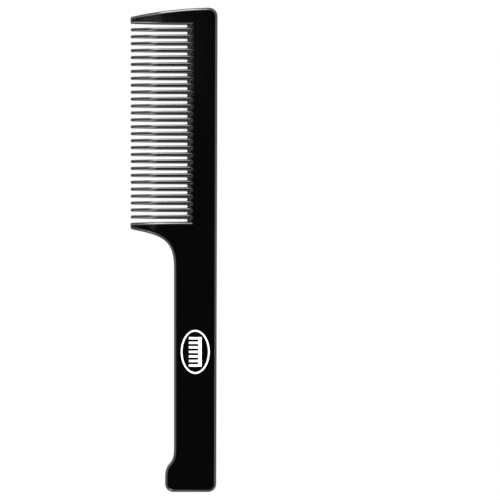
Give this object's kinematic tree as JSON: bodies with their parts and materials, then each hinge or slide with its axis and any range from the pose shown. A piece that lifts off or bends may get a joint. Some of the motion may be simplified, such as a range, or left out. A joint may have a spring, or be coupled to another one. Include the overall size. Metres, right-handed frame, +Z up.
{
  "type": "beard comb",
  "caption": "One-hand beard comb in hard plastic: a flat handle with a small toe, a straight back, fine rounded teeth between two guards, and a plain printed badge.",
  "frame": {"origin": "middle of the overall box in X and Y, on the comb's back face at Z = 0", "axes": "+Z up through the thickness, out of the face with the printed badge; +Y along the length towards the toothed head; -X the way the teeth point"},
  "size_m": [0.0314, 0.1746, 0.0041],
  "materials": {
    "black_plastic": "polished black moulding, deep gloss",
    "white_ink": "thin white pad-printed ink, slightly satin"
  },
  "bodies": {
    "root": {"handle": "black_plastic", "back": "black_plastic", "front_guard": "black_plastic", "heel_guard": "black_plastic", "tooth_01": "black_plastic", "tooth_02": "black_plastic", "tooth_03": "black_plastic", "tooth_04": "black_plastic", "tooth_05": "black_plastic", "tooth_06": "black_plastic", "tooth_07": "black_plastic", "tooth_08": "black_plastic", "tooth_09": "black_plastic", "tooth_10": "black_plastic", "tooth_11": "black_plastic", "tooth_12": "black_plastic", "tooth_13": "black_plastic", "tooth_14": "black_plastic", "tooth_15": "black_plastic", "tooth_16": "black_plastic", "tooth_17": "black_plastic", "tooth_18": "black_plastic", "tooth_19": "black_plastic", "tooth_20": "black_plastic", "tooth_21": "black_plastic", "tooth_22": "black_plastic", "tooth_23": "black_plastic", "tooth_24": "black_plastic", "tooth_25": "black_plastic", "tooth_26": "black_plastic", "tooth_27": "black_plastic", "tooth_28": "black_plastic", "badge_ring": "white_ink", "badge_motif": "white_ink"}
  },
  "joints": []
}
